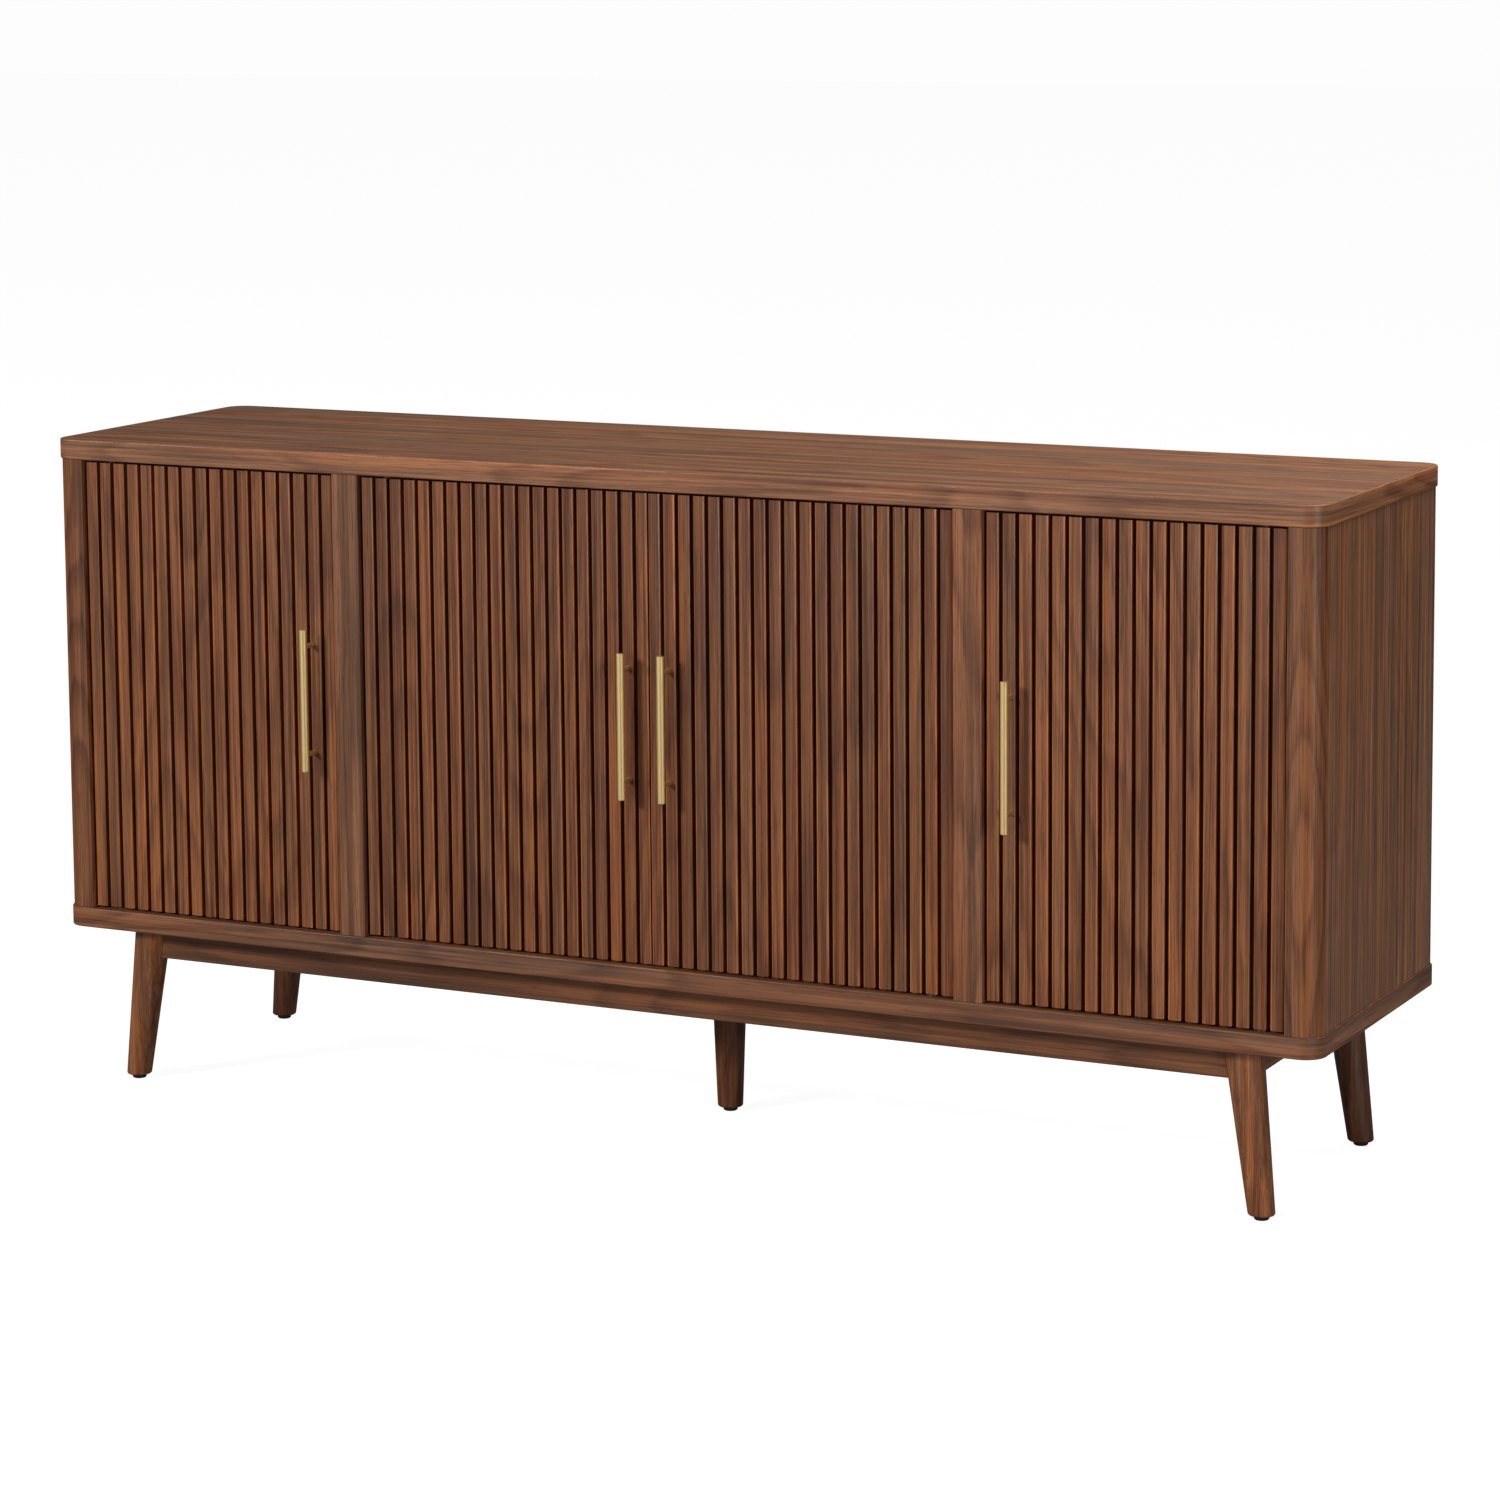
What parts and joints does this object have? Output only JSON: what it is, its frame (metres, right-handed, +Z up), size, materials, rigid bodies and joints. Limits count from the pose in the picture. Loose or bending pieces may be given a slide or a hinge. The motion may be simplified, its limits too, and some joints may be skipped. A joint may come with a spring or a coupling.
{
  "type": "sideboard buffet",
  "caption": "Long walnut sideboard with slatted swing doors, brass bar handles, a rounded case and an under frame with splayed tapered legs.",
  "frame": {"origin": "on the floor, below the middle of the outline (handles included)", "axes": "+X to the right seen from the front, front faces -Y, +Z up"},
  "size_m": [1.6, 0.424, 0.784],
  "materials": {
    "walnut": "satin lacquered walnut veneer, straight grain",
    "slat_walnut": "satin lacquered solid walnut slats, tone varies from slat to slat",
    "inside_walnut": "matt walnut veneer on the door boards and the back",
    "brass": "satin brushed brass",
    "steel": "zinc plated",
    "black_plastic": "matt black"
  },
  "bodies": {
    "case": {"top_panel": "walnut", "base_panel": "walnut", "left_front_post": "walnut", "left_rear_post": "walnut", "left_side_panel": "walnut", "left_divider": "walnut", "right_front_post": "walnut", "right_rear_post": "walnut", "right_side_panel": "walnut", "right_divider": "walnut", "back_panel": "inside_walnut", "left_shelf": "walnut", "middle_shelf": "walnut", "right_shelf": "walnut", "left_catch": "black_plastic", "middle_catch": "black_plastic", "right_catch": "black_plastic", "left_front_leg": "walnut", "left_front_glide": "black_plastic", "left_rear_leg": "walnut", "left_rear_glide": "black_plastic", "right_front_leg": "walnut", "right_front_glide": "black_plastic", "right_rear_leg": "walnut", "right_rear_glide": "black_plastic", "middle_leg": "walnut", "middle_glide": "black_plastic", "front_apron": "walnut", "rear_apron": "walnut", "left_apron": "walnut", "right_apron": "walnut", "middle_brace": "walnut", "left_door_lower_bush": "steel", "left_door_upper_bush": "steel", "middle_left_door_lower_bush": "steel", "middle_left_door_upper_bush": "steel", "middle_right_door_lower_bush": "steel", "middle_right_door_upper_bush": "steel", "right_door_lower_bush": "steel", "right_door_upper_bush": "steel"},
    "left_door": {"left_door_board": "inside_walnut", "left_door_slats": "slat_walnut", "left_door_handle": "brass", "left_door_lower_pin": "steel", "left_door_upper_pin": "steel"},
    "middle_left_door": {"middle_left_door_board": "inside_walnut", "middle_left_door_slats": "slat_walnut", "middle_left_door_handle": "brass", "middle_left_door_lower_pin": "steel", "middle_left_door_upper_pin": "steel"},
    "middle_right_door": {"middle_right_door_board": "inside_walnut", "middle_right_door_slats": "slat_walnut", "middle_right_door_handle": "brass", "middle_right_door_lower_pin": "steel", "middle_right_door_upper_pin": "steel"},
    "right_door": {"right_door_board": "inside_walnut", "right_door_slats": "slat_walnut", "right_door_handle": "brass", "right_door_lower_pin": "steel", "right_door_upper_pin": "steel"}
  },
  "joints": [
    {"name": "left_door_hinge", "type": "hinge", "parent": "case", "child": "left_door", "pos_m": [-0.729, -0.175, 0.487], "axis": [0, 0, -1], "range_deg": [0, 110]},
    {"name": "middle_left_door_hinge", "type": "hinge", "parent": "case", "child": "middle_left_door", "pos_m": [-0.3455, -0.175, 0.487], "axis": [0, 0, -1], "range_deg": [0, 110]},
    {"name": "middle_right_door_hinge", "type": "hinge", "parent": "case", "child": "middle_right_door", "pos_m": [0.3455, -0.175, 0.487], "axis": [0, 0, 1], "range_deg": [0, 110]},
    {"name": "right_door_hinge", "type": "hinge", "parent": "case", "child": "right_door", "pos_m": [0.729, -0.175, 0.487], "axis": [0, 0, 1], "range_deg": [0, 110]}
  ]
}
